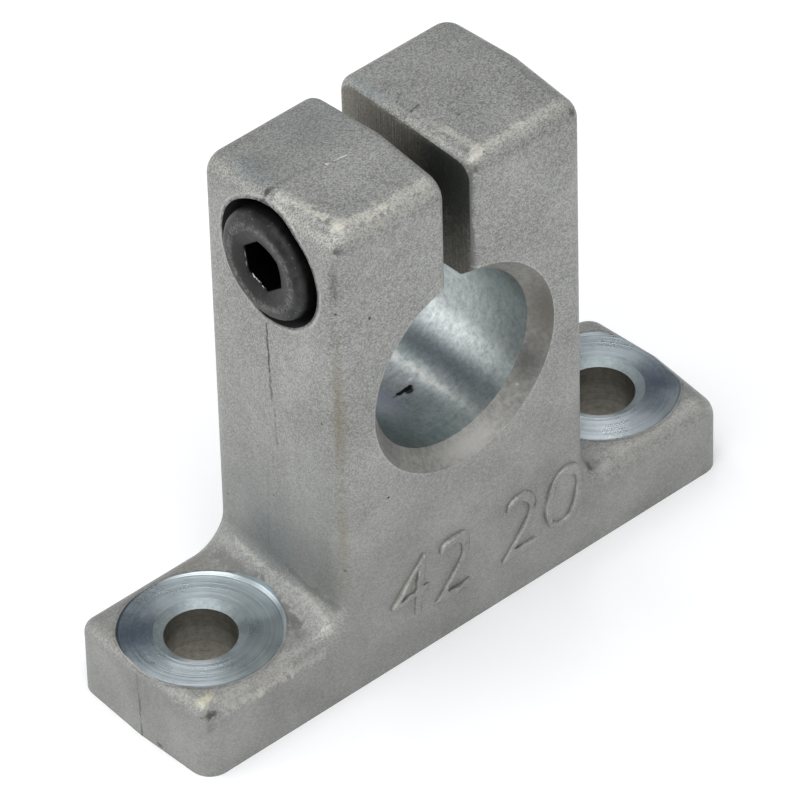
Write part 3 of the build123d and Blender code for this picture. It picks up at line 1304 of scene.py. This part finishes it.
        # Painted reflection bands along the bore, dark green and blue bands and a pale band low down, which
        # also tint it. The two near-black marks are the pore, and the pale spot beside it is a painted
        # glint.
        marks = (
            Mark((5.9, 1.0, 22.5), (2.2, 5.5, 4.6), green, 0.4, 1.0, 0.8),
            Mark((3.4, 0.0, 15.05), (1.1, 6.0, 1.1), blue, 0.35, 1.0, 0.8),
            Mark((-1.2, 0.6, 14.1), (2.0, 3.0, 0.9), (0.74, 0.75, 0.82, 1.0), 0.75, 1.0, 1.0),
            Mark((-2.6, -2.6, 14.6), (2.2, 2.6, 1.4), green, 0.2, 1.0, 0.8),
            Mark((-0.6, -3.8, 14.1), (1.8, 1.8, 0.8), green, 0.15, 1.0, 0.8),
            Mark((2.9, 2.5, 14.7), (1.3, 3.0, 1.0), green, 0.4, 1.0, 0.8),
            Mark((0.5, 0.2, 14.03), (0.95, 0.19, 0.3), grey(0.01), 0.97, 0.35, 1.9),
            Mark((0.75, 0.0, 14.05), (0.4, 0.33, 0.3), grey(0.01), 0.9, 0.5, 1.0),
            Mark((1.35, 0.6, 14.15), (0.3, 0.16, 0.3), grey(0.75), 0.6, 0.8, 1.2),
        )
        # A painted bright line of reflection along the bore.
        lines = (
            Stroke((2.0, -4.7, 14.34), (2.05, -1.0, 14.36), 0.3, 0.2, (0.78, 0.74, 0.66, 1.0)),
            Stroke((2.05, -1.0, 14.36), (2.1, 3.2, 14.38), 0.4, 0.2, (0.78, 0.74, 0.66, 1.0)),
        )
        return BoredFace(
            "burnished_bore",
            dark=(0.245, 0.285, 0.285, 1.0),
            light=(0.51, 0.535, 0.53, 1.0),
            roughness=0.335,
            along=(0.0, 1.0, 0.0),
            mottle=0.75,
            marks=marks,
            lines=lines,
        )

    def mouth_finish(self) -> BoredFace:
        """Gives the reamed mouths, with brown painted shade up the far side, painted shade on the near side,
        painted light at the bottom and a small painted glint.

        Returns:
            The finish of both mouths.
        """
        # Painted shade up the far side and on the near side, painted light at the bottom, and a painted
        # glint.
        marks = (
            Mark((6.9, -5.5, 20.5), (2.3, 2.0, 6.0), (0.125, 0.12, 0.10, 1.0), 0.95, 1.0, 0.4),
            Mark((5.5, -5.2, 16.9), (1.9, 1.8, 2.4), (0.10, 0.10, 0.095, 1.0), 0.85, 1.0, 0.5),
            Mark((-5.4, -5.4, 16.5), (1.7, 1.4, 2.8), (0.15, 0.16, 0.15, 1.0), 0.45, 1.0, 0.5),
            Mark((0.3, -5.5, 13.5), (4.2, 1.6, 1.9), (0.56, 0.545, 0.505, 1.0), 0.85, 1.0, 0.8),
            Mark((4.6, -5.4, 15.6), (0.16, 0.3, 0.16), grey(0.75), 0.8, 0.6, 0.8),
        )
        return BoredFace(
            "reamed_mouth",
            dark=(0.20, 0.197, 0.18, 1.0),
            light=(0.38, 0.372, 0.345, 1.0),
            roughness=0.5,
            along=(0.0, 1.0, 0.0),
            mottle=0.8,
            metallic=0.5,
            marks=marks,
        )

    def machined_finishes(self) -> dict[Zone, BoredFace | TurnedFace | GroundFace]:
        """Gives the finishes of the machined faces.

        Returns:
            The finish of each machined zone.
        """
        upright = (0.0, 0.0, 1.0)
        # Painted reflection on the turned spotfaces: bluish dark patches at their sides and light patches
        # between.
        spotface_painted_reflection = (
            Mark((-19.2, 2.6, 5.2), (4.0, 3.6, 1.5), (0.115, 0.145, 0.19, 1.0), 0.9, 1.0, 0.5),
            Mark((-13.1, -2.6, 5.2), (2.2, 2.2, 1.5), (0.26, 0.32, 0.31, 1.0), 0.2, 1.0, 0.5),
            Mark((-11.3, 1.4, 5.35), (0.7, 3.4, 0.5), (0.75, 0.82, 0.82, 1.0), 0.4, 1.0, 0.6),
            Mark((18.9, -1.7, 5.2), (3.1, 3.1, 1.5), (0.125, 0.145, 0.195, 1.0), 0.8, 1.0, 0.5),
            Mark((14.2, -3.6, 5.2), (3.0, 2.0, 1.5), (0.86, 0.92, 0.95, 1.0), 0.75, 1.0, 0.5),
        )
        # Painted highlights on the flared rims of the foot holes, and painted shade on the right side of the
        # left rim.
        flare_painted_light = (
            Mark((-17.8, -1.9, 5.1), (1.7, 1.7, 0.4), (0.86, 0.92, 0.95, 1.0), 0.85, 0.8, 0.4),
            Mark((14.2, -1.9, 5.1), (1.7, 1.7, 0.4), (0.86, 0.92, 0.95, 1.0), 0.85, 0.8, 0.4),
            Mark((-13.9, -1.4, 5.1), (0.8, 1.2, 0.4), (0.13, 0.16, 0.17, 1.0), 0.6, 0.8, 0.4),
        )
        drilled = (0.16, 0.152, 0.128, 1.0), (0.375, 0.36, 0.32, 1.0)
        flared = (0.19, 0.225, 0.235, 1.0), (0.35, 0.40, 0.41, 1.0)
        return {
            Zone.BORE: self.bore_finish(),
            Zone.MOUTH: self.mouth_finish(),
            Zone.SPOTFACE: TurnedFace("turned_spotface", self.hole_place, marks=spotface_painted_reflection),
            Zone.DRILLED: BoredFace("drilled_hole", *drilled, 0.45, upright, mottle=0.5),
            Zone.GROUND: GroundFace(),
            # The well round the screw's head is coloured dark as painted shade.
            Zone.WELL: BoredFace("oily_well", grey(0.05), grey(0.12), 0.5, (1.0, 0.0, 0.0), metallic=0.3),
            Zone.FLARE: BoredFace("flared_rim", *flared, 0.4, upright, pitch=0.04, metallic=0.6, marks=flare_painted_light),
        }

    def dress(self, shelf: EffectShelf) -> bpy.types.Object:
        """Gives each face of the node its finish.

        Args:
            shelf: The shared effects.

        Returns:
            The node's object.
        """
        block = frame["nodes"][self.node]
        block.data.materials.clear()
        finishes = self.cast_finishes() | self.machined_finishes()
        for _, finish in sorted(finishes.items(), key=lambda pair: pair[0].value):
            block.data.materials.append(finish.material(shelf))
        for face in block.data.polygons:
            face.material_index = self.zone(face.center / MM, face.normal).value
        return block


@dataclass
class RaisedNumbers:
    """Plain raised numbers on the front face, cut by hand into the mould."""

    text: str = "42 20"
    left: float = -6.7
    base: float = 3.0
    front: float = -5.95
    size: float = 6.9
    bold: float = -0.09
    slant: float = 0.12
    relief: float = 0.22
    sunk: float = 0.25
    voxel: float = 0.06
    waver: float = 0.42
    waver_size: float = 1.4
    smoothing: int = 10

    def build(self, shelf: EffectShelf) -> bpy.types.Object:
        """Models the numbers and puts them on the casting.

        Args:
            shelf: The shared effects.

        Returns:
            The piece.
        """
        bpy.ops.object.select_all(action="DESELECT")
        bpy.ops.object.text_add()
        piece = bpy.context.object
        piece.data.body = self.text
        piece.data.size = self.size * MM
        piece.data.shear = self.slant
        piece.data.offset = self.bold * MM
        piece.data.extrude = (self.relief + self.sunk) / 2 * MM
        bpy.ops.object.convert(target="MESH")
        piece = bpy.context.object
        piece.name = piece.data.name = "raised_numbers"
        middle = self.front - (self.relief - self.sunk) / 2
        piece.rotation_euler = (math.pi / 2, 0.0, 0.0)
        piece.location = Vector((self.left, middle, self.base)) * MM
        bpy.ops.object.transform_apply(location=True, rotation=True, scale=True)
        apply_modifier(piece, "REMESH", mode="VOXEL", voxel_size=self.voxel * MM)
        waver = bpy.data.textures.new("hand_cut_waver", "CLOUDS")
        waver.noise_scale = self.waver_size * MM
        apply_modifier(
            piece,
            "DISPLACE",
            texture=waver,
            texture_coords="GLOBAL",
            direction="RGB_TO_XYZ",
            strength=self.waver * MM,
        )
        apply_modifier(piece, "SMOOTH", factor=0.5, iterations=self.smoothing)
        only_select(piece)
        bpy.ops.object.shade_smooth()
        piece.data.materials.clear()
        piece.data.materials.append(CastSkin("raised_skin", relief_foot=self.front).material(shelf))
        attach(piece, "block")
        return piece


@dataclass
class ClampScrew:
    """The socket head cap screw: a turned body, a hexagon socket and a cut thread."""

    node: str = "clamp_screw"
    axis_y: float = -0.3
    axis_z: float = 30.25
    head_face: float = -10.6
    head_radius: float = 3.6
    head_height: float = 4.0
    rim_round: float = 0.7
    rim_steps: int = 6
    seat_edge: float = 0.1
    neck_round: float = 0.15
    dish_radius: float = 2.4
    dish_slope: float = 18.0
    socket_width: float = 3.0
    socket_depth: float = 2.0
    socket_turn: float = 19.0
    socket_bevel: float = 0.06
    drill_half_angle: float = 60.0
    shank_radius: float = 2.0
    length: float = 16.0
    pitch: float = 0.7
    thread_depth: float = 0.4
    root_share: float = 0.22
    flank_share: float = 0.62
    run_out: float = 1.2
    tip_chamfer: float = 0.5
    turns_to: int = 96
    rings_per_pitch: int = 10
    smooth_angle: float = 35.0

    def place(self, along: float, radius: float) -> Vector:
        """Gives the point at a distance behind the head's face and above the axis, in metres."""
        return Vector((self.head_face + along, self.axis_y, self.axis_z + radius)) * MM

    def profile(self) -> list[Vector]:
        """Gives the turned outline from the dish's rim over the head and along the shank to the tip.

        Returns:
            The outline's points, in metres.
        """
        points = [self.place(0.0, self.dish_radius)]
        corner = self.rim_round
        for step in range(self.rim_steps + 1):
            angle = math.radians(90 * step / self.rim_steps)
            along = corner * (1 - math.cos(angle))
            points.append(self.place(along, self.head_radius - corner * (1 - math.sin(angle))))
        seat = self.head_height
        edge, neck = self.seat_edge, self.neck_round
        points += [self.place(seat - edge, self.head_radius), self.place(seat, self.head_radius - edge)]
        points += [self.place(seat, self.shank_radius + neck), self.place(seat + neck, self.shank_radius)]
        rings = math.ceil((self.length - 2 * neck) / self.pitch * self.rings_per_pitch)
        for ring in range(1, rings + 1):
            along = seat + neck + (self.length - neck) * ring / rings
            points.append(self.place(along, self.shank_radius))
        return points

    def thread_radius(self, along: float, angle: float) -> float:
        """Gives the thread's radius.

        Args:
            along: Distance behind the head's face.
            angle: Turn about the axis, in radians.

        Returns:
            The radius in millimetres.
        """
        phase = (along / self.pitch - angle / FULL_TURN) % 1.0
        ridge = min(max((abs(phase - 0.5) * 2 - self.root_share) / self.flank_share, 0.0), 1.0)
        fade = min(max((along - self.head_height - 0.3) / self.run_out, 0.0), 1.0)
        radius = self.shank_radius - self.thread_depth * fade * (1 - ridge)
        to_tip = self.head_height + self.length - along
        return min(radius, self.shank_radius - self.tip_chamfer + to_tip)

    def turn_body(self) -> bpy.types.Object:
        """Turns the outline round the axis and closes the tip.

        Returns:
            The piece, with an open dish.
        """
        points = self.profile()
        bpy.ops.object.select_all(action="DESELECT")
        bpy.ops.mesh.primitive_plane_add(size=MM, location=points[0])
        piece = bpy.context.object
        piece.name = piece.data.name = "socket_head_screw"
        bpy.ops.object.transform_apply(location=True, rotation=True, scale=True)
        bpy.ops.object.mode_set(mode="EDIT")
        bpy.ops.mesh.merge(type="CENTER")
        for start, end in zip(points, points[1:]):
            bpy.ops.mesh.extrude_region_move(TRANSFORM_OT_translate={"value": end - start})
        bpy.ops.mesh.select_all(action="SELECT")
        bpy.ops.mesh.spin(steps=self.turns_to, angle=FULL_TURN, center=self.place(0, 0), axis=(1, 0, 0))
        bpy.ops.mesh.select_all(action="SELECT")
        bpy.ops.mesh.remove_doubles(threshold=0.001 * MM)
        bpy.ops.object.mode_set(mode="OBJECT")
        return piece

    def cut_thread(self, piece: bpy.types.Object) -> None:
        """Moves the shank's points in to the thread.

        Args:
            piece: The turned body.
        """
        for vertex in piece.data.vertices:
            along = vertex.co.x / MM - self.head_face
            if along > self.head_height + 0.2:
                away = Vector((0.0, vertex.co.y / MM - self.axis_y, vertex.co.z / MM - self.axis_z))
                angle = math.atan2(away.z, away.y)
                radius = self.thread_radius(along, angle)
                vertex.co = self.place(along, 0) + away.normalized() * radius * MM

    def sink_socket(self, piece: bpy.types.Object) -> None:
        """Joins the dish's rim to the hexagon, sinks the socket and closes both ends.

        Args:
            piece: The turned body.
        """
        only_select(piece)
        corner = self.socket_width / 2 / math.cos(math.radians(30))
        turn = Matrix.Rotation(math.radians(self.socket_turn), 3, "X")
        slope = math.tan(math.radians(self.dish_slope))
        near_face, near_tip = self.place(1, 0).x, self.place(self.head_height + self.length - 1, 0).x
        mesh = bmesh.new()
        mesh.from_mesh(piece.data)
        rim = [edge for edge in mesh.edges if edge.is_boundary and edge.verts[0].co.x < near_face]
        per_side = self.turns_to // 6
        angles = [side * math.pi / 3 for side in range(7)]
        corners = [Vector((0.0, math.cos(angle), math.sin(angle))) * corner for angle in angles]
        hexagon = []
        for index in range(self.turns_to):
            side, share = index // per_side, index % per_side / per_side
            spot = turn @ corners[side].lerp(corners[side + 1], share)
            spot.x = (self.dish_radius - spot.length) * slope
            hexagon.append(mesh.verts.new(self.place(0, 0) + spot * MM))
        loop = [mesh.edges.new((hexagon[i - 1], hexagon[i])) for i in range(self.turns_to)]
        bmesh.ops.bridge_loops(mesh, edges=rim + loop)
        walls = bmesh.ops.extrude_edge_only(mesh, edges=loop)["geom"]
        low = [part for part in walls if isinstance(part, bmesh.types.BMVert)]
        for vertex in low:
            vertex.co.x = self.place(self.socket_depth, 0).x
        floor = [edge for edge in mesh.edges if edge.verts[0] in low and edge.verts[1] in low]
        cone = bmesh.ops.extrude_edge_only(mesh, edges=floor)["geom"]
        point = [part for part in cone if isinstance(part, bmesh.types.BMVert)]
        point_depth = self.socket_width / 2 / math.tan(math.radians(self.drill_half_angle))
        drill_point = self.socket_depth + point_depth
        bmesh.ops.pointmerge(mesh, verts=point, merge_co=self.place(drill_point, 0))
        bevel = self.socket_bevel * MM
        bmesh.ops.bevel(mesh, geom=loop, offset=bevel, segments=2, profile=0.5, affect="EDGES")
        open_tip = [edge for edge in mesh.edges if edge.is_boundary and edge.verts[0].co.x > near_tip]
        bmesh.ops.holes_fill(mesh, edges=open_tip)
        bmesh.ops.recalc_face_normals(mesh, faces=mesh.faces)
        mesh.to_mesh(piece.data)
        mesh.free()

    def build(self, shelf: EffectShelf) -> bpy.types.Object:
        """Models the screw in its hole.

        Args:
            shelf: The shared effects.

        Returns:
            The piece.
        """
        piece = self.turn_body()
        self.cut_thread(piece)
        self.sink_socket(piece)
        only_select(piece)
        bpy.ops.object.shade_smooth_by_angle(angle=math.radians(self.smooth_angle))
        piece.data.materials.clear()
        piece.data.materials.append(BlackOxide().material(shelf))
        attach(piece, "screw")
        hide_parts(self.node)
        return piece


@dataclass(frozen=True)
class Softbox:
    """A soft light: its place, its width and height, and its power in watts."""

    name: str
    spot: Place
    size: Span
    power: float


@dataclass
class Studio:
    """The floor, the soft lights and the camera at the photograph's viewing angle."""

    target: Place = (0.0, 0.05, 17.0)
    azimuth: float = -40.606
    elevation: float = 41.136
    roll: float = -1.66
    distance: float = 479.401
    offset_right: float = -0.112
    offset_up: float = 2.4845
    focal_pixels: float = 8113.7
    picture_width: int = 800
    sensor: float = 36.0
    clipping: Span = (0.01, 10.0)
    floor_size: float = 3.0
    bright_below: Span = (0.08, 0.34)
    bright_above: Span = (0.72, 0.95)
    wall_colour: Colour = (0.17, 0.19, 0.22, 1.0)
    wall_strength: float = 0.9
    softboxes: tuple[Softbox, ...] = (
        Softbox("overhead_softbox", (-128.0, -98.0, 400.0), (420.0, 420.0), 1.3),
        Softbox("left_softbox", (-345.0, 272.0, 174.0), (250.0, 195.0), 0.34),
        Softbox("back_strip", (-15.0, 280.0, 400.0), (50.0, 260.0), 0.12),
        Softbox("far_strip", (110.0, 129.0, 400.0), (76.0, 190.0), 0.1),
    )

    def camera_axes(self) -> tuple[Vector, Vector, Vector]:
        """Gives the camera's right, up and backward directions.

        Returns:
            The three directions, each of unit length.
        """
        turn, lift = math.radians(self.azimuth), math.radians(self.elevation)
        back = Vector((math.sin(turn) * math.cos(lift), -math.cos(turn) * math.cos(lift), math.sin(lift)))
        right = Vector((math.cos(turn), math.sin(turn), 0.0))
        up = back.cross(right)
        spin = math.radians(self.roll)
        return (
            right * math.cos(spin) + up * math.sin(spin),
            up * math.cos(spin) - right * math.sin(spin),
            back,
        )

    def camera(self) -> bpy.types.Object:
        """Makes the camera.

        Returns:
            The camera's object, set as the scene's camera.
        """
        right, up, back = self.camera_axes()
        data = bpy.data.cameras.new("photo_camera")
        data.sensor_width = self.sensor
        data.lens = self.sensor * self.focal_pixels / self.picture_width
        data.clip_start, data.clip_end = self.clipping
        camera = bpy.data.objects.new("photo_camera", data)
        bpy.context.scene.collection.objects.link(camera)
        aim = Vector(self.target) - right * self.offset_right - up * self.offset_up
        spot = aim + back * self.distance
        facing = Matrix((right, up, back)).transposed().to_4x4()
        camera.matrix_world = Matrix.Translation(spot * MM) @ facing
        bpy.context.scene.camera = camera
        return camera

    def soft_light(self, box: Softbox) -> bpy.types.Object:
        """Makes a softbox that faces the block.

        Args:
            box: The softbox.

        Returns:
            The light's object.
        """
        data = bpy.data.lights.new(box.name, "AREA")
        data.shape = "RECTANGLE"
        data.size, data.size_y = box.size[0] * MM, box.size[1] * MM
        data.energy = box.power
        light = bpy.data.objects.new(box.name, data)
        bpy.context.scene.collection.objects.link(light)
        light.location = Vector(box.spot) * MM
        towards = Vector(self.target) * MM - light.location
        light.rotation_mode = "QUATERNION"
        light.rotation_quaternion = towards.to_track_quat("-Z", "Y")
        return light

    def surroundings(self) -> None:
        """Sets the studio walls: bright low down and overhead, and dimmer between."""
        world = bpy.data.worlds.new("studio_walls")
        world.use_nodes = True
        sheet = NodeSheet(world.node_tree)
        background = world.node_tree.nodes["Background"]
        height = sheet.parts(sheet.add("ShaderNodeTexCoord").outputs["Generated"])[2]
        low = sheet.step(height, *self.bright_below, 1.0, 0.0)
        bright = sheet.plus(low, sheet.step(height, *self.bright_above), clamp=True)
        sheet.feed(background.inputs["Color"], sheet.blend(bright, self.wall_colour, grey(1.0)))
        background.inputs["Strength"].default_value = self.wall_strength
        bpy.context.scene.world = world
        bpy.context.scene.view_settings.view_transform = "Standard"

    def floor(self, shelf: EffectShelf) -> bpy.types.Object:
        """Lays the floor.

        Args:
            shelf: The shared effects.

        Returns:
            The floor's object.
        """
        bpy.ops.object.select_all(action="DESELECT")
        bpy.ops.mesh.primitive_grid_add(x_subdivisions=4, y_subdivisions=4, size=self.floor_size)
        floor = bpy.context.object
        floor.name = floor.data.name = "studio_floor"
        floor.data.materials.append(FloorPaint().material(shelf))
        return floor

    def build(self, shelf: EffectShelf) -> None:
        """Sets up the whole studio.

        Args:
            shelf: The shared effects.
        """
        self.surroundings()
        self.floor(shelf)
        self.camera()
        for box in self.softboxes:
            self.soft_light(box)


def main() -> None:
    """Builds and dresses every piece in order."""
    logging.basicConfig(level=logging.INFO, format="%(name)s: %(message)s")
    shelf = EffectShelf()
    for part in (CastBlock().dress(shelf), RaisedNumbers().build(shelf), ClampScrew().build(shelf)):
        LOG.info("%s: %d faces", part.name, len(part.data.polygons))
    Studio().build(shelf)
    bpy.context.view_layer.update()


if __name__ == "__main__":
    main()
